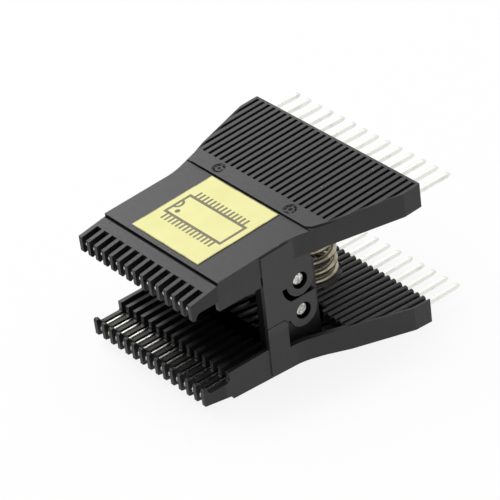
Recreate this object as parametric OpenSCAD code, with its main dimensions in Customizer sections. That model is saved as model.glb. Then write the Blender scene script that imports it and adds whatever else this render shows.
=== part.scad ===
// Test clip for shrink DIP packages: two sprung jaws with comb noses, fanned contacts and ribbed handles.
// Sizes are in millimetres. The jaws are drawn about the clip's middle plane: X across the clip,
// Y from the nose to the tail pins with 0 at the pin line, Z away from the middle plane.
// The finished clip is then turned and lifted so that the lower handle pad lies flat on Z = 0.

/* [Comb and contacts] */
// Contacts in each jaw
contact_count = 14; // [10:1:18]
// Lead pitch of the package that the nose grips
nose_pitch = 1.778; // [1.7:0.002:1.9]
// Pitch of the tail pins behind the handles
tail_pitch = 2.54; // [2.45:0.01:2.65]
// Thickness of one comb tooth and its rib
tooth_w = 0.68; // [0.5:0.02:0.8]
// Thickness of the wall at each end of the comb
end_wall = 0.74; // [0.6:0.02:1.2]
// Width of a contact strip in the nose
contact_w = 0.46; // [0.36:0.02:0.6]
// Thickness of a contact strip in the nose
contact_t = 0.4; // [0.3:0.02:0.5]
// Depth of the contact behind the arch of the teeth
contact_recess = 0.12; // [0.08:0.02:0.3]
// Length of the contact's bent front end
contact_hook = 0.7; // [0.6:0.05:1.2]
// Outside radius of the bend at the contact's front end
contact_bend = 0.38; // [0.2:0.02:0.5]
// Setback of the contact from the front of the teeth
contact_setback = 0.3; // [0.1:0.02:0.36]
// Side of a square tail pin
tail_t = 0.64; // [0.5:0.02:0.7]
// Length of the tail pins behind the handle
tail_len = 6.7; // [5:0.1:9]
// Length of the taper at a tail pin's tip
tail_taper = 0.6; // [0.3:0.05:1]
// Gap round a contact in its channel
contact_play = 0.05; // [0.02:0.01:0.1]

/* [Jaw length] */
// Front of the teeth to the pin line
nose_reach = 18.6; // [17.6:0.1:20.5]
// Length of the comb that is open through the outer face
slot_len = 2.9; // [2:0.1:3.5]
// Front of the teeth to the step of the label panel
comb_len = 4.9; // [4.6:0.05:5.5]
// Front of the teeth to the shoulder inside the mouth
mouth_len = 4.6; // [4:0.05:5.5]
// Length of the hook at the front of each tooth
hook_len = 0.65; // [0.5:0.05:0.9]
// Rear ends of the ribs and front edge of the ears, ahead of the pin line
rib_end = 6.48; // [6:0.04:7]
// Pin line to the front edge of the raised handle pad
pad_front = 2.15; // [1.8:0.05:2.6]
// Pin line to the rear end of the tray inside the jaw
tray_rear = 6.2; // [5.8:0.1:6.6]
// Pin line to the rear face of the handle
handle_reach = 19; // [17.4:0.1:21]
// Start of the fan-out, ahead of the pin line
fan_start = 1.6; // [0.8:0.1:2.6]
// End of the fan-out, behind the pin line
fan_end = 14.4; // [12.4:0.1:15.2]
// Start of the handle's flare, ahead of the pin line
flare_start = 0.95; // [0.6:0.05:1.6]
// End of the handle's flare, behind the pin line
flare_end = 15.8; // [14.4:0.1:16.4]
// Radius of the bend where the flare starts
flare_r = 12; // [6:1:14]
// Middle of the last tail pin to the side of the handle
rear_margin = 1.49; // [1.2:0.01:2]
// Chamfer at the rear corners of the handle
corner_cut = 0.15; // [0.1:0.05:1]

/* [Jaw height] */
// Middle plane to the handle pad's plane at the pin line
pad_h = 10.9; // [10.6:0.02:12]
// Lean of each handle away from the middle plane, in degrees
splay = 3; // [2:0.1:4]
// Thickness of the handle
handle_t = 3.8; // [3.5:0.05:4.2]
// Height of the handle pad above the label panel
pad_step = 0.3; // [0.2:0.02:0.5]
// Height of the label panel above the comb
panel_step = 0.48; // [0.2:0.02:0.6]
// Middle plane to the outer corner at the front of the teeth
knee_h = 8.55; // [8.3:0.05:9]
// Middle plane to the tips of the hooks
hook_h = 5.9; // [5.6:0.05:6]
// Depth of the arch between hook and shoulder
arch_depth = 0.95; // [0.8:0.05:1.1]
// Radius of the arch behind the hook
arch_front_r = 0.92; // [0.5:0.02:0.94]
// Radius of the arch at the shoulder
arch_rear_r = 0.3; // [0.15:0.05:0.5]
// Middle plane to the inner edges of the ribs
shoulder_h = 5.3; // [4.9:0.05:5.6]
// Thickness of the outer skin over the tray
tray_skin = 0.9; // [0.7:0.05:1.1]
// Thickness of the tray's side walls
tray_wall = 0.9; // [0.7:0.05:1]
// Drop of the tail pins from the middle of the handle's rear face towards the mouth
tail_drop = 0.34; // [0:0.02:0.4]

/* [Grip ribs] */
// Pitch of the grip ribs
grip_pitch = 1.27; // [1.1:0.01:1.5]
// Width of the grooves between the ribs
grip_groove = 0.5; // [0.4:0.02:0.6]
// Depth of the grooves
grip_depth = 0.55; // [0.4:0.05:0.7]
// Smooth strip ahead of the ribs on the handle pad
grip_strip = 2.8; // [2.2:0.1:3.4]
// Smooth rim between the grooves and the sides of the handle
grip_rim = 0.4; // [0.25:0.05:0.8]
// Inset of the pad's front corners from the sides of the handle
pad_inset = 0.45; // [0.2:0.05:0.6]
// Chamfer at the pad's front corners
pad_corner = 0.6; // [0.3:0.05:0.9]
// Length over which the pad's edges run out to the sides
pad_runout = 4; // [3:0.1:5]
// Diameter of the two round mould marks on the smooth strip
mark_d = 2.2; // [1.6:0.1:2.4]
// Depth of the mould marks
mark_depth = 0.1; // [0.05:0.01:0.15]
// Middle of the clip to each mould mark
mark_x = 8; // [6:0.1:10]

/* [Hinge] */
// Diameter of both pins
pin_d = 2; // [1.8:0.05:2.2]
// Distance between the two pins
pin_gap = 5.18; // [5:0.02:5.6]
// Middle plane to the point midway between the pins
pin_rise = 0.53; // [0.4:0.01:0.6]
// Running clearance of the hinge pin in the ears, on the radius
pin_play = 0.04; // [0.02:0.01:0.08]
// Diameter of the counterbore round each pin end
sink_d = 2.5; // [2.3:0.05:2.7]
// Depth of the counterbores
sink_depth = 0.8; // [0.6:0.05:0.9]
// Depth of the pin ends below the ears' outer faces
pin_recess = 0.5; // [0.3:0.05:0.6]
// Chamfer at the pin ends
pin_chamfer = 0.12; // [0.05:0.01:0.25]
// Thickness of an ear
ear_t = 2; // [1.8:0.05:2.2]
// Height of an ear's outer face over the comb's end wall
ear_proud = 0.15; // [0.1:0.01:0.4]
// Drop of an ear's top edge below the label panel
ear_drop = 0.3; // [0.2:0.05:0.6]
// Radius of the lower lobe
lobe_r = 2.48; // [2.3:0.02:2.56]
// Rear edge of an ear at the handle, behind the pin line
ear_rear = 2.3; // [2.1:0.05:2.4]
// Width of the slit under the upper lobe
slit_w = 0.26; // [0.2:0.02:0.4]
// Reach of the slit's blind end from the upper pin
slit_reach = 3.25; // [2.9:0.05:3.6]
// Flat of the lower lobe above the middle plane
slit_floor = 0.45; // [0.3:0.05:0.6]
// Top of the slit's blind end above the middle plane
slit_top = 3; // [2.4:0.05:3.2]
// Lean of the ears' and posts' edges towards the nose, in degrees
ear_lean = 1.6; // [0:0.1:3]
// Slope between the ear's lower edge and its lower lobe
ear_web = 0.65; // [0.4:0.05:0.8]
// Lower edge of the ears where they rest on the posts, below the middle plane
parting_h = 1.85; // [1.7:0.05:2]
// Gap between ear and post at rest
stop_gap = 0.12; // [0.08:0.01:0.2]
// Length of a post from front to rear
post_len = 3.7; // [3.4:0.05:3.8]
// Thickness of a hinge lug
lug_t = 2; // [1.6:0.05:2.4]
// Gap between a lug and its ear
lug_play = 0.15; // [0.1:0.01:0.3]
// Front face of the lugs ahead of the pin line
lug_front = 2.6; // [2.2:0.1:3]
// Rear face of the lugs behind the pin line
lug_rear = 4.3; // [4:0.05:4.5]
// Rim of a lug beyond the keeper pin's path
lug_rim = 2; // [1.6:0.05:2.4]
// Clearance of the keeper pin in its curved slot, on the radius
keeper_play = 0.12; // [0.08:0.01:0.2]
// Opening travel of the upper jaw, in degrees
open_angle = 20; // [14:1:22]

/* [Return spring] */
// Pin line to the spring's axis
spring_y = 11.9; // [11:0.1:12.6]
// Outside diameter of the spring
spring_d = 8; // [7.2:0.1:8.6]
// Diameter of the spring wire
wire_d = 1; // [0.8:0.02:1.1]
// Turns from end to end
coil_turns = 9; // [8:0.5:10]
// Depth of the spring seats in the handles
seat_depth = 0.6; // [0.4:0.05:0.7]
// Gap round and under the spring in its seats
seat_play = 0.04; // [0.02:0.01:0.1]
// Gap between the spring's outside and the wall of its seat
seat_side_play = 0.4; // [0.2:0.05:0.6]

/* [Label] */
// Width of the label
label_w = 15; // [10:0.5:18]
// Length of the label
label_len = 14.7; // [10:0.1:15]
// Thickness of the label
label_t = 0.12; // [0.08:0.02:0.2]
// Gap between the label and the step of the handle pad
label_gap = 0.35; // [0.2:0.05:0.6]

/* [Hidden] */
$fn = 48;
// Overlap that lets a cut break cleanly through a face
over = 1;
// Bite of the flare's bend into both sides, which keeps the faces from meeting at a tangent
bend_bite = 0.02;
// Height of the pad's ledge over the label panel
ledge_rise = 0.02;
// Length of the inner grooves that runs out into the tray
groove_lead = 0.3;
// Gap between the closed turns at the ends of the spring
closed_gap = 0.05;

// Levels along the clip
nose_y = -nose_reach;
panel_y = nose_y + comb_len;
shoulder_y = nose_y + mouth_len;
arch_y = nose_y + hook_len;
rib_y = -rib_end;
tail_tip_y = handle_reach + tail_len;
grip_front_y = pad_front + grip_strip;

// Levels away from the middle plane
function pad_z(y) = pad_h + y * tan(splay);
function panel_z(y) = pad_z(y) - pad_step / cos(splay);
function inner_z(y) = pad_z(y) - handle_t / cos(splay);
comb_top_h = panel_z(panel_y) - panel_step;
arch_h = hook_h + arch_depth;
contact_in_h = arch_h + contact_recess;
channel_floor_h = contact_in_h + contact_t + contact_play;
tail_h = pad_z(handle_reach) - handle_t / 2 - tail_drop;
tray_floor_h = panel_z(rib_y) - tray_skin;
tray_mouth_h = contact_in_h - contact_play;
seat_h = inner_z(spring_y) + seat_depth;
hinge_h = pin_rise - pin_gap / 2;
keeper_h = pin_rise + pin_gap / 2;
lift = pad_h * cos(splay);
// The origin lies under the middle of the lower handle pad's ribbed length
rest_y = (grip_front_y + handle_reach) / 2 / cos(splay) + pad_h * sin(splay);

// Levels across the clip
slot_w = nose_pitch - tooth_w;
last_contact = (contact_count - 1) / 2;
nose_half_w = last_contact * nose_pitch + slot_w / 2 + end_wall;
rear_half_w = last_contact * tail_pitch + rear_margin;
flare_angle = atan((rear_half_w - nose_half_w) / (flare_end + flare_start));
ear_x = nose_half_w + ear_proud;
ear_in_x = ear_x - ear_t;
lug_x = ear_in_x - lug_play - lug_t;
pin_len = 2 * (ear_x - pin_recess);
groove_count = floor(2 * rear_half_w / grip_pitch);
rib_w = grip_pitch - grip_groove;

// Height of the spring wire's centre after t turns, with one closed turn at each end
coil_span = 2 * (seat_h - seat_play) - wire_d;
closed_rise = wire_d + closed_gap;
open_rise = (coil_span - 2 * closed_rise) / (coil_turns - 2);
function wire_z(t) =
    t < 1 ? t * closed_rise :
    t > coil_turns - 1 ? coil_span - (coil_turns - t) * closed_rise :
    closed_rise + (t - 1) * open_rise;

upper_colour = [0.16, 0.16, 0.17];
lower_colour = [0.13, 0.13, 0.14];
contact_colour = [0.83, 0.82, 0.78];
steel_colour = [0.62, 0.62, 0.6];
spring_colour = [0.55, 0.51, 0.38];
label_colour = [0.97, 0.96, 0.62];

function two_digits(i) = str(i < 10 ? "0" : "", i);
function contact_name(side, i) = str(side, "_contact_", two_digits(i));

// Turns and lifts the clip from its middle plane to its place on the table
module on_table() {
    translate([0, -rest_y, lift]) rotate([splay, 0, 0]) children();
}

// Draws an outline given in Y and Z as a plate from x0 to x1
module across(x0, x1) {
    translate([x0, 0, 0]) rotate([90, 0, 90]) linear_extrude(x1 - x0) children();
}

// Repeats a plate on both sides of the clip
module both_sides() {
    children();
    mirror([1, 0, 0]) children();
}

// Puts children on the plane of the handle pad, with Z pointing out of the clip
module on_pad() {
    translate([0, 0, pad_h]) rotate([splay, 0, 0]) children();
}

// Fills a concave corner at the origin, open towards +X and -Y
module corner_fill(r) {
    difference() {
        translate([0, -r]) square(r);
        translate([r, -r]) circle(r);
    }
}

// Side outline of a jaw from the hooks to the rear face
module jaw_section() {
    hook_r = hook_len / 2;
    polygon([
        [nose_y, hook_h + hook_r], [nose_y, knee_h],
        [panel_y, comb_top_h], [panel_y, panel_z(panel_y)],
        [pad_front, panel_z(pad_front)], [pad_front, pad_z(pad_front)],
        [handle_reach, pad_z(handle_reach)], [handle_reach, inner_z(handle_reach)],
        [rib_y, inner_z(rib_y)], [rib_y, shoulder_h],
        [shoulder_y, shoulder_h], [shoulder_y, arch_h],
        [arch_y, arch_h], [arch_y, hook_h + hook_r]
    ]);
    translate([nose_y + hook_r, hook_h + hook_r]) circle(hook_r);
    translate([arch_y, arch_h]) corner_fill(min(arch_front_r, arch_depth));
    translate([shoulder_y, arch_h]) mirror([1, 0]) corner_fill(arch_rear_r);
}

// Plan outline of a jaw, inset by a wall
module jaw_plan(inset = 0) {
    narrow = nose_half_w - inset;
    wide = rear_half_w - inset;
    lead = (flare_r + inset) * tan(flare_angle / 2);
    polygon([
        [-narrow, nose_y - over], [narrow, nose_y - over], [narrow, -flare_start],
        [wide, flare_end], [wide, handle_reach - corner_cut],
        [wide - corner_cut - over, handle_reach + over], [corner_cut + over - wide, handle_reach + over],
        [-wide, handle_reach - corner_cut], [-wide, flare_end], [-narrow, -flare_start]
    ]);
    for (side = [0, 1]) mirror([side, 0]) difference() {
        polygon([
            [narrow - over, -flare_start - lead], [narrow, -flare_start - lead],
            [narrow + lead * sin(flare_angle), lead * cos(flare_angle) - flare_start],
            [narrow - over, lead * cos(flare_angle) - flare_start]
        ]);
        translate([narrow + flare_r + inset, -flare_start - lead]) circle(flare_r + inset + bend_bite);
    }
}

// Half width of the handle at a distance from the pin line, along the straight flare
function flare_half(y) = nose_half_w + (y + flare_start) * tan(flare_angle);

// Outline of the ledge beside the pad's front corners, which runs out into the sides
module pad_ledge() {
    front_half = flare_half(pad_front) - pad_inset;
    out_y = pad_front + pad_runout + over;
    spread = tan(flare_angle) + pad_inset / pad_runout;
    for (side = [0, 1]) mirror([side, 0]) polygon([
        [front_half - pad_corner, pad_front - over], [rear_half_w + over, pad_front - over],
        [rear_half_w + over, out_y], [front_half + (out_y - pad_front) * spread, out_y],
        [front_half + pad_corner * spread, pad_front + pad_corner], [front_half - pad_corner, pad_front]
    ]);
}

// Solid jaw before the ears, lugs and cuts
module jaw_blank() {
    difference() {
        intersection() {
            across(-rear_half_w - over, rear_half_w + over) jaw_section();
            linear_extrude(pad_z(handle_reach) + over) jaw_plan();
        }
        on_pad() translate([0, 0, ledge_rise - pad_step]) linear_extrude(pad_step + over) pad_ledge();
    }
}

// Open tray behind the ribs, where the contacts climb into the handle
module tray_cut() {
    translate([0, 0, tray_mouth_h]) linear_extrude(tray_floor_h - tray_mouth_h) intersection() {
        jaw_plan(tray_wall);
        translate([-rear_half_w, rib_y]) square([2 * rear_half_w, tray_rear - rib_y]);
    }
}

// Side outline of a contact, grown by a gap for its channel
module contact_side(gap = 0) {
    front = nose_y + contact_setback - gap;
    hook_rear = front + contact_t + 2 * gap;
    inner = contact_in_h - gap;
    outer = contact_in_h + contact_t + gap;
    tail_inner = tail_h - tail_t / 2 - gap;
    tail_outer = tail_h + tail_t / 2 + gap;
    tip_in = tail_t / 4;
    polygon([
        [front + contact_bend, inner], [rib_y, inner], [tray_rear, tail_inner],
        [tail_tip_y - tail_taper, tail_inner], [tail_tip_y, tail_inner + tip_in],
        [tail_tip_y, tail_outer - tip_in], [tail_tip_y - tail_taper, tail_outer],
        [tray_rear, tail_outer], [rib_y, outer], [hook_rear, outer],
        [hook_rear, contact_in_h + contact_hook + gap], [front, contact_in_h + contact_hook + gap],
        [front, inner + contact_bend]
    ]);
    translate([front + contact_bend, inner + contact_bend]) circle(contact_bend);
}

// Plan outline of contact i, fanned from the nose pitch to the tail pitch
module contact_plan(i, gap = 0) {
    place = i - 1 - last_contact;
    nose_x = place * nose_pitch;
    tail_x = place * tail_pitch;
    nose_r = contact_w / 2 + gap;
    tail_r = tail_t / 2 + gap;
    tip_r = tail_r - tail_t / 4;
    polygon([
        [nose_x - nose_r, nose_y - over], [nose_x + nose_r, nose_y - over],
        [nose_x + nose_r, -fan_start], [tail_x + tail_r, fan_end],
        [tail_x + tail_r, tail_tip_y - tail_taper], [tail_x + tip_r, tail_tip_y + over],
        [tail_x - tip_r, tail_tip_y + over], [tail_x - tail_r, tail_tip_y - tail_taper],
        [tail_x - tail_r, fan_end], [nose_x - nose_r, -fan_start]
    ]);
}

// Contact i of the upper jaw, or the room that its channel needs
module contact_shape(i, gap = 0) {
    intersection() {
        across(-rear_half_w, rear_half_w) contact_side(gap);
        linear_extrude(tail_h + tail_t + over) contact_plan(i, gap);
    }
}

// Open channels between the ribs and slots between the teeth
module comb_cut() {
    for (i = [1:contact_count]) {
        slot_x = (i - 1 - last_contact) * nose_pitch - slot_w / 2;
        translate([slot_x, nose_y - over, 0]) cube([slot_w, rib_y - nose_y + over, channel_floor_h]);
        translate([slot_x, nose_y - over, 0]) cube([slot_w, slot_len + over, pad_h + over]);
    }
}

module contact_channels() {
    for (i = [1:contact_count]) contact_shape(i, contact_play);
}

// Keeps grooves inside the smooth rims of the handle, up to a rear end
module inside_rims(rear_y) {
    front_half = flare_half(0) - grip_rim;
    rear_half = rear_half_w - grip_rim;
    intersection() {
        children();
        linear_extrude(pad_z(handle_reach) + over) polygon([
            [-front_half, 0], [front_half, 0], [rear_half, flare_end], [rear_half, rear_y],
            [-rear_half, rear_y], [-rear_half, flare_end]
        ]);
    }
}

// Straight grip grooves in the handle pad
module pad_grooves() {
    inside_rims(handle_reach - grip_rim) on_pad() for (i = [1:groove_count]) {
        groove_x = (i - (groove_count + 1) / 2) * grip_pitch - grip_groove / 2;
        translate([groove_x, grip_front_y, -grip_depth])
            cube([grip_groove, handle_reach + over - grip_front_y, grip_depth + over]);
    }
}

// Shallow round marks of the mould on the smooth strip
module mould_marks() {
    on_pad() for (side = [-1, 1]) translate([side * mark_x, pad_front + grip_strip / 2, -mark_depth])
        cylinder(h = mark_depth + over, d = mark_d);
}

// Cross-section of one groove between two round-topped ribs, cut downwards from the origin
module round_groove() {
    difference() {
        translate([-grip_pitch / 2, -grip_depth]) square([grip_pitch, grip_depth + over]);
        for (side = [-1, 1]) translate([side * grip_pitch / 2, 0]) {
            translate([-rib_w / 2, -grip_depth - over]) square([rib_w, grip_depth + over - rib_w / 2]);
            translate([0, -rib_w / 2]) circle(rib_w / 2);
        }
    }
}

// Grooves between round-topped ribs on the inner face of the handle
module inner_grooves() {
    front = tray_rear - groove_lead;
    inside_rims(handle_reach + over) on_pad() for (i = [1:groove_count]) {
        groove_x = (i - (groove_count + 1) / 2) * grip_pitch;
        translate([groove_x, front, -handle_t]) rotate([-90, 0, 0])
            linear_extrude(handle_reach + over - front) round_groove();
    }
}

// Round seat for one end of the spring
module spring_seat() {
    translate([0, spring_y, 0]) cylinder(h = seat_h, d = spring_d + 2 * seat_side_play);
}

// Leaning edge of an ear or post: the distance from the pin line at height z over the middle plane
function edge_y(z) = rib_y + z * tan(ear_lean);

// Blind slit round the upper lobe, before that lobe fills its middle
module slit_outline() {
    tall = slit_top - slit_floor;
    intersection() {
        translate([0, keeper_h]) circle(slit_reach);
        translate([-slit_reach - over, slit_floor]) square([slit_reach + 2 * over, tall]);
    }
    translate([0, slit_floor]) square([lobe_r + over, tall]);
}

// Two-lobed ear: both pins, with a slit that runs in under the upper lobe
module ear_outline() {
    top_h = panel_z(rib_y) - ear_drop;
    web_y = edge_y(-parting_h) + post_len - ear_web;
    difference() {
        union() {
            polygon([
                [edge_y(-parting_h), -parting_h], [web_y, -parting_h], [web_y + ear_web, -parting_h - ear_web],
                [0, -parting_h - ear_web], [0, keeper_h], [ear_rear, keeper_h],
                [ear_rear, panel_z(0) - ear_drop], [edge_y(top_h), top_h]
            ]);
            translate([0, hinge_h]) circle(lobe_r);
            translate([0, hinge_h]) square([lobe_r, slit_floor - hinge_h + over]);
        }
        slit_outline();
    }
    translate([0, keeper_h]) circle(keeper_h - slit_floor - slit_w);
}

// Post of the lower jaw that carries the resting ear, drawn for a jaw above the middle plane
module post_outline() {
    rest_h = parting_h + stop_gap;
    foot_h = panel_z(rib_y) - ear_drop;
    polygon([
        [edge_y(-rest_h), rest_h], [edge_y(-rest_h) + post_len - ear_web - stop_gap, rest_h],
        [edge_y(-rest_h) + post_len - stop_gap, rest_h + ear_web],
        [edge_y(-foot_h) + post_len - stop_gap, foot_h], [edge_y(-foot_h), foot_h]
    ]);
}

// Path of the keeper pin round the hinge pin, as a slot
module keeper_slot() {
    slot_r = pin_d / 2 + keeper_play;
    reach = pin_gap + slot_r + over;
    intersection() {
        difference() {
            circle(pin_gap + slot_r);
            circle(pin_gap - slot_r);
        }
        polygon([[0, 0], [0, -reach], [reach * tan(open_angle), -reach]]);
    }
    translate([0, -pin_gap]) circle(slot_r);
    rotate(open_angle) translate([0, -pin_gap]) circle(slot_r);
}

// Inner lug of the lower jaw, drawn for a jaw above the middle plane
module lug_outline() {
    difference() {
        union() {
            translate([-lug_front, -hinge_h])
                square([lug_front + lug_rear, tray_floor_h + tray_skin / 2 + hinge_h]);
            translate([0, -hinge_h]) intersection() {
                circle(pin_gap + lug_rim);
                translate([-lug_front, -pin_gap - lug_rim - over])
                    square([lug_front + lug_rear, pin_gap + lug_rim + over]);
            }
        }
        translate([0, -hinge_h]) circle(pin_d / 2);
        translate([0, -hinge_h]) keeper_slot();
    }
}

// Cuts that both jaws share
module shared_cuts() {
    comb_cut();
    contact_channels();
    pad_grooves();
    mould_marks();
    inner_grooves();
    spring_seat();
}

module ears() {
    both_sides() across(ear_in_x, ear_x) ear_outline();
}

module posts() {
    both_sides() across(ear_in_x, ear_x) post_outline();
}

module lugs() {
    both_sides() across(lug_x, lug_x + lug_t) lug_outline();
}

// Bores through both ears at one height, with a counterbore at each end
module ear_bores(z, bore_d) {
    translate([0, 0, z]) rotate([0, 90, 0]) {
        cylinder(h = 2 * ear_x + over, d = bore_d, center = true);
        for (side = [-1, 1]) translate([0, 0, side * (ear_x + over / 2 - sink_depth / 2)])
            cylinder(h = sink_depth + over, d = sink_d, center = true);
    }
}

module upper_jaw() {
    color(upper_colour) on_table() difference() {
        difference() {
            union() {
                jaw_blank();
                ears();
            }
            tray_cut();
        }
        shared_cuts();
        ear_bores(hinge_h, pin_d + 2 * pin_play);
        ear_bores(keeper_h, pin_d);
    }
}

module lower_jaw() {
    color(lower_colour) on_table() mirror([0, 0, 1]) difference() {
        union() {
            difference() {
                union() {
                    jaw_blank();
                    posts();
                }
                tray_cut();
            }
            lugs();
        }
        shared_cuts();
    }
}

// Steel pin across both ears, with chamfered ends
module cross_pin(z) {
    straight = pin_len / 2 - pin_chamfer;
    color(steel_colour) on_table() translate([0, 0, z]) rotate([0, 90, 0]) {
        cylinder(h = 2 * straight, d = pin_d, center = true);
        for (end = [0, 1]) mirror([0, 0, end]) translate([0, 0, straight])
            cylinder(h = pin_chamfer, d1 = pin_d, d2 = pin_d - 2 * pin_chamfer);
    }
}

module hinge_pin() {
    cross_pin(hinge_h);
}

module keeper_pin() {
    cross_pin(keeper_h);
}

// Coil spring, swept ring by ring along its helix
module return_spring() {
    sides = 8;
    rings_per_turn = 16;
    rings = rings_per_turn * coil_turns;
    coil_r = (spring_d - wire_d) / 2;
    points = [for (k = [0:rings], s = [0:sides - 1])
        let (turn = k * coil_turns / rings, a = turn * 360, b = s * 360 / sides)
        let (r = coil_r + cos(b) * wire_d / 2)
        [r * cos(a), r * sin(a), wire_z(turn) + sin(b) * wire_d / 2 - coil_span / 2]];
    skin = [for (k = [0:rings - 1], s = [0:sides - 1])
        let (n = (s + 1) % sides)
        [k * sides + s, k * sides + n, (k + 1) * sides + n, (k + 1) * sides + s]];
    caps = [[for (s = [sides - 1:-1:0]) s], [for (s = [0:sides - 1]) rings * sides + s]];
    color(spring_colour) on_table() translate([0, spring_y, 0]) polyhedron(points, concat(skin, caps));
}

module label_plate() {
    color(label_colour) on_table() on_pad()
        translate([-label_w / 2, pad_front - label_gap - label_len, -pad_step])
        cube([label_w, label_len, label_t]);
}

module upper_contact(i) {
    color(contact_colour) on_table() contact_shape(i);
}

module lower_contact(i) {
    color(contact_colour) on_table() mirror([0, 0, 1]) contact_shape(i);
}

lower_jaw();
upper_jaw();
hinge_pin();
keeper_pin();
return_spring();
label_plate();
for (i = [1:contact_count]) {
    upper_contact(i);
    lower_contact(i);
}
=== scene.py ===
# %% [markdown]
# # A spring-loaded test clip for a 28-lead shrink dual in-line package
# The clip is two black combs on one steel pin. Squeezing the ribbed handles against a coil spring
# opens the noses, and fourteen springy contacts on each side carry the package's leads out to two
# rows of square pins. The solids come from CAD and stay as they are. This lesson gives them finishes,
# winds a smooth spring in place of the faceted one, and sets up the camera, floor and light.

# %% Load the packed model
import math

import bmesh
import bpy
from mathutils import Matrix, Quaternion, Vector


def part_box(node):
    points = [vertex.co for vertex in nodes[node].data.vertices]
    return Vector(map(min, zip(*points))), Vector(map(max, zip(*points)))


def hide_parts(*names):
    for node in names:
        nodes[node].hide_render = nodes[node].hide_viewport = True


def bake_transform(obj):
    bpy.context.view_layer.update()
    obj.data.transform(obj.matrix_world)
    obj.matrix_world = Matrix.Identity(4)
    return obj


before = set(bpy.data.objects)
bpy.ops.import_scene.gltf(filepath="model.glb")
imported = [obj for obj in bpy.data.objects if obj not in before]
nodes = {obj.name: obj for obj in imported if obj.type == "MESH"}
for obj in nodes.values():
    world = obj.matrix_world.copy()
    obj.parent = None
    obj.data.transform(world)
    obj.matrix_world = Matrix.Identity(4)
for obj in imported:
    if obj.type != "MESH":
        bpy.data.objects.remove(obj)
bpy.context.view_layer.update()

# %% [markdown]
# ## Camera
# The clip was seen from its front right corner, from above, through a long lens that keeps the two
# combs almost parallel. A camera can be turned by hand until it looks right. Here it is placed by an
# aim point, two angles and a distance, because these can be read and changed one at a time. The last
# small turn is a roll about the line of sight.

# %% Place the camera
aim = Vector((-0.0019, -0.00986, 0.011))
azimuth = math.radians(53.446)
elevation = math.radians(32.39)
roll = math.radians(-4.89)
distance = 0.39026

towards_camera = Vector((
    math.sin(azimuth) * math.cos(elevation),
    -math.cos(azimuth) * math.cos(elevation),
    math.sin(elevation),
))
camera_data = bpy.data.cameras.new("bench_camera")
camera_data.lens = 195.1
camera_data.sensor_width = 36.0
camera_data.clip_start = 0.01
camera_data.clip_end = 10.0
camera = bpy.data.objects.new("bench_camera", camera_data)
camera.location = aim + towards_camera * distance
camera.rotation_mode = "QUATERNION"
level_turn = (-towards_camera).to_track_quat("-Z", "Y")
camera.rotation_quaternion = level_turn @ Quaternion((0, 0, 1), roll)
bpy.context.scene.collection.objects.link(camera)
bpy.context.scene.camera = camera
print("camera at mm:", [round(1000 * c, 1) for c in camera.location])

# %% [markdown]
# ## Shader sums
# A finish is a small calculation at every point of a surface. Nodes can be wired by hand in the
# editor, but a sum of six masks becomes hard to follow. One small class holds a socket and lets it be
# added, subtracted and multiplied as a number is, and one method makes any other node.

# %% A socket that can be used in a sum
class Field:
    """A socket of a node tree, or the tree alone, that takes part in sums as a number does."""

    def __init__(self, tree, socket=None):
        self.tree = tree
        self.socket = socket

    def make(self, kind, settings=None, sockets=None, out=0):
        """Adds a node, sets it up, fills its sockets and returns the chosen output."""
        node = self.tree.nodes.new(kind)
        for name, setting in (settings or {}).items():
            if name == "stops":
                ramp = node.color_ramp
                while len(ramp.elements) < len(setting):
                    ramp.elements.new(0.5)
                for element, (position, colour) in zip(ramp.elements, setting):
                    element.position = position
                    element.color = colour
            else:
                setattr(node, name, setting)
        for key, given in (sockets or {}).items():
            if isinstance(given, Field):
                self.tree.links.new(given.socket, node.inputs[key])
            else:
                node.inputs[key].default_value = given
        return Field(self.tree, node.outputs[out] if node.outputs else None)

    def sum(self, operation, *terms):
        """One step of arithmetic on sockets and numbers."""
        return self.make("ShaderNodeMath", {"operation": operation}, dict(enumerate(terms)))

    def __add__(self, other):
        return self.sum("ADD", self, other)

    def __radd__(self, other):
        return self.sum("ADD", other, self)

    def __sub__(self, other):
        return self.sum("SUBTRACT", self, other)

    def __rsub__(self, other):
        return self.sum("SUBTRACT", other, self)

    def __mul__(self, other):
        return self.sum("MULTIPLY", self, other)

    def __rmul__(self, other):
        return self.sum("MULTIPLY", other, self)

    def __abs__(self):
        return self.sum("ABSOLUTE", self)


print("sums:", [name for name in vars(Field) if name.startswith("__r") or name in ("make", "sum")])

# %% [markdown]
# A few helpers say what the finishes need over and over: a smooth step between two levels, noise of a
# given grain size, greys, a mix of two colours, and the place of a point along a direction. Grain sizes
# are written in millimetres, because that is how one sees them on the bench.

# %% Helpers for masks and colours
MM = 0.001


def rise(value, low, high):
    """0 below low, 1 above high, and a smooth step between. A high that is less than low falls."""
    settings = {"interpolation_type": "SMOOTHSTEP"}
    return value.make("ShaderNodeMapRange", settings, {"Value": value, "From Min": low, "From Max": high})


def grain(place, size_mm, detail=2.0, roughness=0.5):
    """Noise from 0 to 1 whose lumps are about size_mm across."""
    sockets = {"Vector": place, "Scale": 1.0 / (size_mm * MM), "Detail": detail, "Roughness": roughness}
    return place.make("ShaderNodeTexNoise", None, sockets, "Fac")


def grey(level):
    """A neutral colour."""
    return (level, level, level, 1)


def tint(share, first, second):
    """The first colour where share is 0 and the second where it is 1."""
    settings = {"data_type": "RGBA"}
    return share.make("ShaderNodeMix", settings, {0: share, 6: first, 7: second}, 2)


def along(place, direction):
    """How far a point lies along a direction, in metres."""
    settings = {"operation": "DOT_PRODUCT"}
    return place.make("ShaderNodeVectorMath", settings, {0: place, 1: tuple(direction)}, "Value")


print("one grain of 1 mm is a noise scale of", 1.0 / MM)

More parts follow.
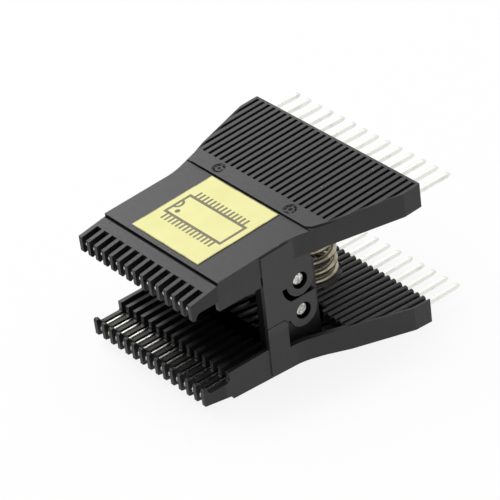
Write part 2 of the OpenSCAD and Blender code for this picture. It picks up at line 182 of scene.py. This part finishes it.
# %% [markdown]
# Every finish ends in a Principled shader. What varies over the surface goes to its colour, roughness
# and normal, and what is the same everywhere is set on the shader's own sockets. A Bevel node rounds
# the sharp CAD edges in the shading alone, so that they catch a thin line of light as moulded or
# tumbled edges do, and the same node tells where an edge is, for its wear. A mask can mix in a plain
# dark surface without gloss, which paints deep shade and also darkens the mould's scores.

# %% Start and end of a finish
def begin_finish(name):
    """A new material with an empty tree, and the place of its points in the piece's own frame."""
    material = bpy.data.materials.new(name)
    material.use_nodes = True
    material.node_tree.nodes.clear()
    start = Field(material.node_tree)
    place = start.make("ShaderNodeTexCoord", None, None, "Object")
    return material, place


def rounded_edges(place, radius_mm):
    """The normal of slightly rounded edges, and a mask that is 1 on those edges."""
    settings = {"samples": 6}
    soft = place.make("ShaderNodeBevel", settings, {"Radius": radius_mm * MM})
    flat = place.make("ShaderNodeNewGeometry", None, None, "Normal")
    facing = place.make("ShaderNodeVectorMath", {"operation": "DOT_PRODUCT"}, {0: soft, 1: flat}, "Value")
    return soft, rise(facing, 0.985, 0.75)


def end_finish(material, normal, height, sockets, black_where_shaded_or_scored=None):
    """Bumps the normal by a height in metres and closes the finish with a Principled shader.

    Where the dark mask is 1, the surface is dead black without any gloss: painted shade, or a mould
    score.
    """
    start = Field(material.node_tree)
    bump_sockets = {"Strength": 1.0, "Distance": 1.0, "Height": height, "Normal": normal}
    bumped = start.make("ShaderNodeBump", None, bump_sockets)
    shader = start.make("ShaderNodeBsdfPrincipled", None, {**sockets, "Normal": bumped})
    if black_where_shaded_or_scored is not None:
        # a plain dark surface: painted shade, and the dark of the mould's scores
        shade_and_score_black = start.make("ShaderNodeBsdfDiffuse", None, {"Color": grey(0.003)})
        shader = start.make("ShaderNodeMixShader", None, {0: black_where_shaded_or_scored, 1: shader, 2: shade_and_score_black})
    start.make("ShaderNodeOutputMaterial", None, {"Surface": shader})
    print("finish", material.name, "has", len(material.node_tree.nodes), "nodes")
    return material


print("materials that came with the model:", len(bpy.data.materials))

# %% [markdown]
# ## Black moulded plastic
# The jaws are moulded in a glass-filled black plastic. It isn't one black: flow leaves faint clouds a
# few millimetres across, glass fibre near the skin gives a fine pale speckle, handling polishes and
# greys the edges, and a few dust specks cling to it. The speckle is painted stronger on faces that look
# up, as painted glints, and the dust lies mostly on those faces, so a mask of the surface's own normal
# holds both back elsewhere. Noise makes the first three, and a cell pattern with a speck in some of its
# cells makes the dust.

# %% Skin, dust and painted glints of the jaws
jaw_plastic, place = begin_finish("jaw_plastic")
soft_normal, edge = rounded_edges(place, 0.09)
own_normal = place.make("ShaderNodeTexCoord", None, None, "Normal")
looks_up = rise(along(own_normal, (0, 0, 1)), 0.5, 0.9)

clouds = grain(place, 5.0, 3.0, 0.55)
fibre = grain(place, 0.16, 2.0, 0.7)
skin = grain(place, 0.45, 2.0, 0.6)
# fibre speckle everywhere, with painted glints on faces that look up
speckle_and_painted_glints = rise(fibre, 0.56, 0.74) * (0.3 + 0.7 * looks_up)
rubbed = edge * rise(grain(place, 0.9, 3.0, 0.6), 0.38, 0.62)

dust_spacing = 2.6 * MM
dust_cell = {"Vector": place, "Scale": 1.0 / dust_spacing}
dust_distance = place.make("ShaderNodeTexVoronoi", None, dust_cell, "Distance")
dust_pick = place.make("ShaderNodeTexVoronoi", None, dust_cell, "Color")
dust_chance = place.make("ShaderNodeSeparateColor", None, {"Color": dust_pick}, 0)
dust = rise(dust_distance, 0.05, 0.025) * rise(dust_chance, 0.6, 0.62) * looks_up
print("nodes for skin and dust:", len(jaw_plastic.node_tree.nodes))

# %% [markdown]
# Between the ears and inside the combs little light gets in, and these places are painted dead black
# without gloss: painted shade. One could paint such a mask by hand. A box of positions does the same
# here, because the clip's parts lie along its axes.

# %% Insides of the jaws
def band(value, middle, outer, inner):
    """1 within inner of a middle, 0 beyond outer, and a smooth step between."""
    return rise(abs(value - middle), outer, inner)


def larger(first, second):
    """The larger of two masks or distances."""
    return first.sum("MAXIMUM", first, second)


across = along(place, (1, 0, 0))
side = abs(across)
back = along(place, (0, 1, 0))
height = along(place, (0, 0, 1))

ears_y = -12.4 * MM
comb_y = -21.5 * MM
mouth_z = 10.2 * MM
between_ears = rise(side, 9.0 * MM, 8.8 * MM) * band(back, ears_y, 8.0 * MM, 7.0 * MM)
inside_comb = rise(side, 12.4 * MM, 12.2 * MM) * band(back, comb_y, 4.5 * MM, 2.5 * MM)
in_trays = band(height, mouth_z, 8.6 * MM, 8.2 * MM)
in_mouth = band(height, mouth_z, 6.0 * MM, 5.0 * MM)
# painted shade between the ears and inside the combs
painted_inner_shade = larger(between_ears * in_trays, inside_comb * in_mouth * 0.8)
print("middle of the mouth at height mm:", round(1000 * mouth_z, 2))

# %% [markdown]
# A thin line of painted shade lies at the foot of the label panel and of the pad, on the faces that look
# forward or up. The two round marks on the pad are scored by the mould, and rings that noise breaks
# up stand for the scores.

# %% Painted shade at the steps, and mould marks
def length(first, second):
    """The length of the diagonal over two sides."""
    squares = first * first + second * second
    return squares.sum("SQRT", squares)


def foot_line(step_y, step_z):
    """A thin line of painted shade at the foot of a step in the upper jaw, up to just below the step's
    top.
    """
    return band(back, step_y, 0.2 * MM, 0.08 * MM) * rise(height, step_z, step_z - 0.12 * MM)


panel_foot = foot_line(-26.8 * MM, 20.02 * MM)
pad_foot = foot_line(-11.0 * MM, 21.98 * MM)
faces_side = abs(along(own_normal, (1, 0, 0)))
# painted shade at the foot of the panel's and the pad's steps
painted_step_shade = larger(panel_foot, pad_foot) * rise(height, 19.0 * MM, 19.4 * MM) * rise(faces_side, 0.7, 0.4)

mark_x, mark_y, mark_r = 8.0 * MM, -9.6 * MM, 1.05 * MM
score_pitch = 0.62 * MM
from_mark = length(side - mark_x, back - mark_y)
in_mark = rise(from_mark, mark_r, mark_r - 0.1 * MM) * rise(height, 20.0 * MM, 21.0 * MM)
score_wave = from_mark.sum("SINE", from_mark * (2 * math.pi / score_pitch))
scores = in_mark * rise(score_wave, -0.2, 0.3) * rise(grain(place, 0.4, 1.0, 0.5), 0.40, 0.50)
print("mould marks at mm:", round(1000 * mark_x, 2), round(1000 * mark_y, 2))

# %% [markdown]
# The shoulders of the grip's grooves are painted dark, as the painted shade of rounded ridges. A mask for
# each groove would repeat the same sum. The grooves have one pitch, so a distance that starts afresh at
# each pitch serves them all.

# %% Grooves of the grip
grip_pitch = 1.27 * MM
grip_y = -1.4 * MM
on_top = looks_up * rise(height, 16.0 * MM, 17.5 * MM)
on_grip = on_top * band(back, grip_y, 6.85 * MM, 6.75 * MM)
from_groove = abs(across.sum("WRAP", across, grip_pitch, 0.0) - grip_pitch / 2)
# painted shade on the shoulders of the grooves
painted_shoulder_shade = on_grip * rise(from_groove, 0.46 * MM, 0.26 * MM)
# mould scores, and painted shade at the steps and on the shoulders
scores_and_painted_shade = larger(larger(painted_step_shade, scores) * 0.85, painted_shoulder_shade * 0.55)
print("grooves repeat every mm:", round(1000 * grip_pitch, 3))

# %% [markdown]
# The sinks round the cross pins and the slit between the two lobes of an ear are in deep shade, which is
# painted dark here. The ears' outer faces are painted a little greyer than the walls, as painted light.
# The pins' boxes give the middles of the sinks and, with the depth of the pins below the surface, the
# place of those faces.

# %% Sinks, slits and ears
sink_r = 1.25 * MM
pin_recess = 0.5 * MM
for pin in ("hinge_pin", "keeper_pin"):
    low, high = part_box(pin)
    from_pin = length(back - (low.y + high.y) / 2, height - (low.z + high.z) / 2)
    # painted shade in the sink round each pin
    scores_and_painted_shade = larger(scores_and_painted_shade, rise(from_pin, sink_r + 0.10 * MM, sink_r + 0.04 * MM) * 0.9)

ear_face = high.x + pin_recess  # both pins are equally long
slit_y, slit_z = -13.35 * MM, 12.4 * MM
near_slit = band(back, slit_y, 2.85 * MM, 2.65 * MM) * band(height, slit_z, 1.8 * MM, 1.6 * MM)
in_slit = rise(side, ear_face - 0.06 * MM, ear_face - 0.14 * MM) * near_slit
ear_y = -14.4 * MM
above_posts = rise(height, 6.6 * MM, 8.2 * MM)
# painted light on the ears' outer faces
painted_light_ears = band(side, ear_face, 0.08 * MM, 0.04 * MM) * band(back, ear_y, 5.2 * MM, 4.8 * MM)
painted_light_ears = painted_light_ears * above_posts
print("ears' outer faces at mm:", round(1000 * ear_face, 3))

# %% [markdown]
# The broad changes come last. The top is painted darker towards the right, as painted shade, and the
# nose is darker too. The lower handle's ribs are painted lighter, as painted light in the upper handle's
# shadow. The colour starts from the two blacks of the clouds, and each tint lays one thing over the last.

# %% Jaw plastic
to_right = rise(across, -14.0 * MM, 14.0 * MM)
at_nose = rise(back, -26.6 * MM, -27.2 * MM)
# painted shade growing towards the right of the top, and a darker nose
right_shade_and_dark_nose = on_top * (0.05 + 0.16 * to_right) + 0.20 * at_nose
# dead black where shade is painted, and at the mould's scores
black_where_shaded_or_scored = larger(larger(painted_inner_shade, right_shade_and_dark_nose), larger(scores_and_painted_shade, in_slit * 0.9))

# painted light on the lower handle's ribs, which lie in the upper handle's shadow
painted_light_lower_ribs = looks_up * rise(back, -8.5 * MM, -7.5 * MM) * rise(height, 12.0 * MM, 11.0 * MM)
black = tint(rise(clouds, 0.3, 0.7), (0.011, 0.011, 0.012, 1), (0.018, 0.018, 0.019, 1))
# pale speckle, with painted glints on the upward faces
black = tint(speckle_and_painted_glints * 0.6, black, grey(0.075))
black = tint(rubbed * 0.45, black, grey(0.10))
black = tint(painted_light_lower_ribs * 0.5, black, grey(0.09))
black = tint(painted_light_ears * 0.25, black, (0.10, 0.10, 0.103, 1))
black = tint(dust * 0.8, black, (0.5, 0.49, 0.47, 1))
dullness = 0.32 + 0.18 * skin + 0.08 * clouds - 0.08 * rubbed
MICRON = 0.000001
relief = 8 * MICRON * fibre + 14 * MICRON * skin - 120 * MICRON * scores
end_finish(jaw_plastic, soft_normal, relief, {
    "Base Color": black, "Roughness": dullness, "IOR": 1.5}, black_where_shaded_or_scored)

# %% [markdown]
# ## Contact metal
# The contacts are stamped from spring bronze and plated, and their tails are bright square pins. The
# plating keeps fine lines from rolling, which run along the strip, and dulls in patches. The lines
# come from noise that is stretched along the clip, so that they stay thin across it. At the nose the
# strips are dark olive, with painted highlights at the hooks and along one edge.

# %% Lines, tarnish and painted highlights
def stretched(place, scale):
    """The same place with its axes scaled, for a pattern that runs along one of them."""
    settings = {"operation": "MULTIPLY"}
    return place.make("ShaderNodeVectorMath", settings, {0: place, 1: scale})


contact_metal, place = begin_finish("contact_metal")
soft_normal, edge = rounded_edges(place, 0.05)
across = along(place, (1, 0, 0))
back = along(place, (0, 1, 0))
lines = grain(stretched(place, (1.0, 0.04, 1.0)), 0.06, 2.0, 0.6)
tarnish = rise(grain(place, 1.6, 3.0, 0.6), 0.45, 0.75)

nose_pitch = 1.778 * MM
from_middle = across.sum("WRAP", across, nose_pitch, 0.0) - nose_pitch / 2
# painted highlights along one side of each nose contact and at the hooks
painted_side_highlight = rise(from_middle, 0.07 * MM, -0.05 * MM)
painted_hook_glint = rise(back, -30.3 * MM, -30.9 * MM)
painted_highlights = larger(painted_side_highlight * (0.35 + 0.65 * rise(lines, 0.35, 0.65)), painted_hook_glint)
print("nose contacts repeat every mm:", round(1000 * nose_pitch, 3))

# %% [markdown]
# Inside the jaws the strips are painted almost black and without gloss: painted shade. Masks along the
# clip part the olive noses from these covered lengths, and those from the clean tails. The outside edges
# are worn bright.

# %% Contact plating
covered_y = -8.5 * MM
# painted shade on the lengths inside the jaws
painted_shade_covered = band(back, covered_y, 11.0 * MM, 9.5 * MM)
outside = rise(abs(back - covered_y), 11.0 * MM, 13.0 * MM)
# dark olive noses with painted highlights
olive = tint(painted_highlights, (0.07, 0.066, 0.042, 1), (0.90, 0.89, 0.84, 1))
clean = tint(tarnish * 0.4, (0.85, 0.845, 0.81, 1), (0.52, 0.50, 0.42, 1))
# painted shade: the strips inside the jaws are almost black
plating = tint(rise(back, -21.0 * MM, -19.0 * MM), olive, (0.012, 0.012, 0.010, 1))
plating = tint(rise(back, 2.0 * MM, 5.0 * MM), plating, clean)
plating = tint(edge * outside * 0.4, plating, (0.93, 0.92, 0.90, 1))
dullness = 0.20 + 0.14 * lines + 0.16 * tarnish
end_finish(contact_metal, soft_normal, 3 * MICRON * lines, {
    "Base Color": plating, "Roughness": dullness, "Metallic": 1.0}, painted_shade_covered * 0.85)

# %% [markdown]
# ## Pin steel
# The two cross pins are cut from ground rod. Only their ends show, at the bottom of small round
# sinks, with rings left by the cut-off tool. The rings are a wave of the distance from each pin's own
# axis, so each pin gets its own finish with its axis taken from the CAD node's box.

# %% Pin finish
def pin_finish(node_name):
    """Ground steel with cutting rings round the axis of one cross pin."""
    material, place = begin_finish(node_name + "_steel")
    soft_normal, edge = rounded_edges(place, 0.12)
    low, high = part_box(node_name)
    middle = (low + high) / 2
    settings = {"operation": "SUBTRACT"}
    from_axis = place.make("ShaderNodeVectorMath", settings, {0: place, 1: tuple(middle)})
    flat = stretched(from_axis, (0.0, 1.0, 1.0))
    radius = place.make("ShaderNodeVectorMath", {"operation": "LENGTH"}, {0: flat}, "Value")
    ring_pitch = 0.11 * MM
    rings = radius.sum("SINE", radius * (2 * math.pi / ring_pitch))
    stain = rise(grain(place, 0.45, 3.0, 0.65), 0.40, 0.62)
    steel = tint(stain * 0.8, (0.74, 0.73, 0.70, 1), (0.24, 0.225, 0.20, 1))
    # painted shade on the rounded edges of the pin's end
    steel = tint(edge * 0.5, steel, (0.42, 0.41, 0.39, 1))
    dullness = 0.26 + 0.05 * rings + 0.2 * stain
    return end_finish(material, soft_normal, 3 * MICRON * rings + 20 * MICRON * stain, {
        "Base Color": steel, "Roughness": dullness, "Metallic": 1.0})


pin_steel = {name: pin_finish(name) for name in ("hinge_pin", "keeper_pin")}

# %% [markdown]
# ## Return spring
# A compression spring with closed ends stands between the handles. A helix can come from a curve with
# a round bevel or from a screw modifier. Here one ring of wire is spun about the spring's axis while
# it climbs. The height is measured on the CAD spring first, so both fill the same seats.

# %% Measure the seats
wire_d = 1.0 * MM
coil_d = 8.0 * MM
coil_turns = 9
end_gap = 0.05 * MM
closed_rise = wire_d + end_gap
lean = math.radians(3.0)

spring_axis = Vector((0, -math.sin(lean), math.cos(lean)))
spring_low, spring_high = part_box("return_spring")
spring_middle = (spring_low + spring_high) / 2
heights = [(v.co - spring_middle).dot(spring_axis) for v in nodes["return_spring"].data.vertices]
wire_span = max(heights) - min(heights) - wire_d
open_rise = (wire_span - 2 * closed_rise) / (coil_turns - 2)
coil_start = spring_middle + spring_axis * (min(heights) + wire_d / 2)
print("open turns climb mm:", round(1000 * open_rise, 3))

# %% [markdown]
# The ring is spun in three stages, because the end turns lie close together and the rest are open. Each
# stage goes on from the last ring of the one before. The first ring stands on the left, so the cut ends
# of the wire face away from the camera.

# %% Wind the spring
steps_per_turn = 36
wire_sides = 18
spring_mesh = bmesh.new()
ring_turn = Matrix.Rotation(lean, 4, "X") @ Matrix.Rotation(math.pi / 2, 4, "X")
ring_place = coil_start - Vector(((coil_d - wire_d) / 2, 0, 0))
ring = bmesh.ops.create_circle(
    spring_mesh, segments=wire_sides, radius=wire_d / 2, cap_ends=False,
    matrix=Matrix.Translation(ring_place) @ ring_turn)["verts"]
first_edges = list(spring_mesh.edges)
front = list(ring) + first_edges
for turns, climb in ((1, closed_rise), (coil_turns - 2, open_rise), (1, closed_rise)):
    front = bmesh.ops.spin(
        spring_mesh, geom=front, cent=coil_start, axis=spring_axis,
        dvec=spring_axis * (climb / steps_per_turn), angle=turns * 2 * math.pi,
        steps=turns * steps_per_turn, use_merge=False, use_duplicate=False)["geom_last"]
for face in spring_mesh.faces:
    face.smooth = True
last_edges = [part for part in front if isinstance(part, bmesh.types.BMEdge)]
bmesh.ops.holes_fill(spring_mesh, edges=first_edges + last_edges, sides=0)
bmesh.ops.recalc_face_normals(spring_mesh, faces=spring_mesh.faces)
coil_data = bpy.data.meshes.new("wound_spring")
spring_mesh.to_mesh(coil_data)
spring_mesh.free()
wound_spring = bpy.data.objects.new("wound_spring", coil_data)
bpy.context.scene.collection.objects.link(wound_spring)
print("spring faces:", len(coil_data.polygons))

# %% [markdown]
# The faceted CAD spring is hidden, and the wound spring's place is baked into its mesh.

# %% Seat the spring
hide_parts("return_spring")
spring_middle + spring_axis * min(heights)
spring_middle + spring_axis * max(heights)
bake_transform(wound_spring)

# %% [markdown]
# Oiled spring wire has a warm olive tone with bright lines where it catches the light, and darker
# patches where the oil has dried. Drawing leaves fine streaks, and here short noise stands in for them.

# %% Spring finish
spring_steel, place = begin_finish("spring_steel")
own_normal = place.make("ShaderNodeNewGeometry", None, None, "Normal")
oil = rise(grain(place, 1.8, 3.0, 0.6), 0.35, 0.7)
streaks = grain(place, 0.12, 2.0, 0.6)
wire_colour = tint(oil, (0.40, 0.37, 0.28, 1), (0.22, 0.20, 0.135, 1))
wire_colour = tint(rise(streaks, 0.55, 0.8) * 0.35, wire_colour, (0.55, 0.52, 0.43, 1))
dullness = 0.24 + 0.14 * oil + 0.10 * streaks
end_finish(spring_steel, own_normal, 3 * MICRON * streaks, {
    "Base Color": wire_colour, "Roughness": dullness, "Metallic": 1.0})

# %% [markdown]
# ## Label film
# A piece of pale yellow film is stuck in the recess of the upper panel. Its print is made in the finish
# and not from a picture. Two label directions are used, across the clip and up the slope of the panel,
# so that the print lies flat on the tilted film.

# %% Label directions
panel_slope = math.radians(6.0)
up_slope = Vector((0, math.cos(panel_slope), math.sin(panel_slope)))
label_low, label_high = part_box("label_plate")
label_middle = (label_low + label_high) / 2
label_half_w = (label_high.x - label_low.x) / 2
label_half_l = (label_high.y - label_low.y) / 2 / math.cos(panel_slope)
print("label half sizes mm:", round(1000 * label_half_w, 2), round(1000 * label_half_l, 2))

# %% [markdown]
# The print is a plain sketch of what the clip takes: a package outline with fourteen leads on each side,
# a notch and a dot at lead 1. Each line is a small distance from a straight edge or a circle.

# %% Sketch on the label
def inside(distance, soft_mm=0.05):
    """1 where a signed distance in metres is negative, with a soft printed edge."""
    return rise(distance, soft_mm * MM, -soft_mm * MM)


def frame_distance(across, up, half_w, half_l):
    """Signed distance, near enough for print, from a rectangle round the label's middle."""
    return larger(abs(across) - half_w, abs(up) - half_l)


label_film, place = begin_finish("label_film")
soft_normal, _ = rounded_edges(place, 0.06)
across = along(place, (1, 0, 0)) - label_middle.x
up = along(place, up_slope) - label_middle.dot(up_slope)

body_half_w, body_half_l, body_line_half = 6.2 * MM, 2.3 * MM, 0.24 * MM
body = frame_distance(across, up, body_half_w, body_half_l)
body_line = inside(abs(body) - body_line_half)
leads_a_side = 14
lead_pitch, lead_half_w, lead_half_l, lead_reach = 0.82 * MM, 0.19 * MM, 0.7 * MM, 0.8 * MM
lead_phase = abs(across.sum("WRAP", across, lead_pitch, 0.0) - lead_pitch / 2)
lead_row = inside(abs(abs(up) - body_half_l - lead_reach) - lead_half_l)
lead_row = lead_row * inside(abs(across) - leads_a_side / 2 * lead_pitch)
leads = lead_row * inside(lead_phase - lead_half_w)
notch_r, notch_line_half = 0.85 * MM, 0.2 * MM
notch_line = inside(abs(length(across + body_half_w, up) - notch_r) - notch_line_half) * inside(body)
dot_x, dot_up, dot_r = -4.7 * MM, -1.25 * MM, 0.42 * MM
dot_mark = inside(length(across - dot_x, up - dot_up) - dot_r)
ink = larger(larger(body_line, leads), larger(notch_line, dot_mark))
print("sketch of mm:", round(2000 * body_half_w, 1), round(2000 * body_half_l, 1))

# %% [markdown]
# The film has yellowed unevenly, a thin line of painted shade runs round its edges, and the ink is worn
# thin in places. The same slow noise drives the yellowing, the strength of that line and the gloss.

# %% Label film
worn = rise(grain(place, 0.35, 3.0, 0.65), 0.30, 0.46)
age = grain(place, 3.5, 3.0, 0.55)
# painted shade along the edges of the label
painted_edge_shade = rise(frame_distance(across, up, label_half_w, label_half_l), -0.22 * MM, -0.08 * MM)
film = tint(rise(age, 0.35, 0.7), (0.99, 0.96, 0.42, 1), (0.95, 0.91, 0.37, 1))
film = tint(painted_edge_shade * (0.35 + 0.5 * rise(age, 0.4, 0.6)), film, (0.30, 0.26, 0.09, 1))
film = tint(ink * (0.80 + 0.16 * worn), film, (0.13, 0.10, 0.055, 1))
dullness = 0.42 + 0.12 * age - 0.08 * ink
end_finish(label_film, soft_normal, 6 * MICRON * age + 4 * MICRON * ink, {
    "Base Color": film, "Roughness": dullness, "IOR": 1.46})

# %% [markdown]
# ## Hand out the finishes
# The CAD nodes keep their meshes, and only their material slots change. The names tell which finish a
# node takes.

# %% Assign the finishes
def dress(piece, material):
    """Puts one finish in every material slot of a piece."""
    if not piece.material_slots:
        piece.data.materials.append(material)
    for slot in piece.material_slots:
        slot.material = material


for name, node in nodes.items():
    if name in pin_steel:
        dress(node, pin_steel[name])
    elif name == "label_plate":
        dress(node, label_film)
    elif "contact" in name:
        dress(node, contact_metal)
    elif "jaw" in name:
        dress(node, jaw_plastic)
dress(wound_spring, spring_steel)
print("jaw finish on:", [name for name in nodes if name.endswith("jaw")])

# %% [markdown]
# ## Floor
# The clip lies on a white sweep. A real one curves up behind the object. A flat grid of one face is
# enough here, because the white surround takes over behind it.

# %% Lay the floor
floor_mesh = bmesh.new()
bmesh.ops.create_grid(floor_mesh, x_segments=1, y_segments=1, size=3.0)
floor_data = bpy.data.meshes.new("floor")
floor_mesh.to_mesh(floor_data)
floor_mesh.free()
floor = bpy.data.objects.new("floor", floor_data)
bpy.context.scene.collection.objects.link(floor)

# %% [markdown]
# A pale floor under a soft light is never quite white, so the floor adds a share of plain white for rays
# that come from the camera or off shiny metal. The rest is an ordinary lit surface, which keeps the
# shadow. The share is smaller near the clip, which paints a soft shadow round it, and grows with the
# distance, so the shadow stays close round it.

# %% Floor finish
def seen_directly(start):
    """1 for rays from the camera, off a glossy face or through a clear one."""
    rays = [start.make("ShaderNodeLightPath", None, None, out) for out in (
        "Is Camera Ray", "Is Glossy Ray", "Is Transmission Ray")]
    return larger(larger(rays[0], rays[1]), rays[2])


floor_white = bpy.data.materials.new("floor_white")
floor_white.use_nodes = True
floor_white.node_tree.nodes.clear()
start = Field(floor_white.node_tree)
paper = start.make("ShaderNodeBsdfDiffuse", None, {"Color": grey(0.94)})
glow = start.make("ShaderNodeEmission", None, {"Color": grey(1), "Strength": 1.0})
place = start.make("ShaderNodeTexCoord", None, None, "Object")
clip_y = -9.0 * MM
near_share, far_more = 0.87, 0.095
from_clip = length(along(place, (1, 0, 0)), 0.75 * (along(place, (0, 1, 0)) - clip_y))
# painted shadow: less plain white near the clip
white_share_with_painted_shadow = near_share + far_more * rise(from_clip, 14.0 * MM, 32.0 * MM)
white_part = seen_directly(start) * white_share_with_painted_shadow
mixed = start.make("ShaderNodeMixShader", None, {0: white_part, 1: paper, 2: glow})
start.make("ShaderNodeOutputMaterial", None, {"Surface": mixed})
dress(floor, floor_white)
print("white share near and far:", near_share, near_share + far_more)

# %% [markdown]
# ## Light
# One large soft box hangs above the left side, which makes the tops the brightest and leaves the
# right-hand walls dark. Its size against its distance sets how soft the shadow's edge is.

# %% Hang the soft box
def soft_box(name, place, look_at, size, power):
    """A square area lamp that faces a point."""
    data = bpy.data.lights.new(name, "AREA")
    data.shape = "SQUARE"
    data.size = size
    data.energy = power
    lamp = bpy.data.objects.new(name, data)
    lamp.location = place
    lamp.rotation_mode = "QUATERNION"
    lamp.rotation_quaternion = (Vector(look_at) - Vector(place)).to_track_quat("-Z", "Y")
    lamp.visible_camera = False
    bpy.context.scene.collection.objects.link(lamp)
    return lamp


key = soft_box("key_soft_box", place=(-0.38, -0.02, 0.52), look_at=(0, 0, 0.01), size=0.45, power=3.2)
print("key lamp watts:", key.data.energy)

# %% [markdown]
# A dim white surround fills the shadows. It is full white only where a ray sees it directly, so the
# background is white and the metal mirrors a white room.

# %% White surround
surround = bpy.data.worlds.new("white_surround")
surround.use_nodes = True
surround.node_tree.nodes.clear()
bpy.context.scene.world = surround
start = Field(surround.node_tree)
fill = 0.3
sky = start.make("ShaderNodeBackground", None, {
    "Color": grey(1), "Strength": fill + (1 - fill) * seen_directly(start)})
start.make("ShaderNodeOutputWorld", None, {"Surface": sky})
bpy.context.scene.view_settings.view_transform = "Standard"
print("view:", bpy.context.scene.view_settings.view_transform)

# %% [markdown]
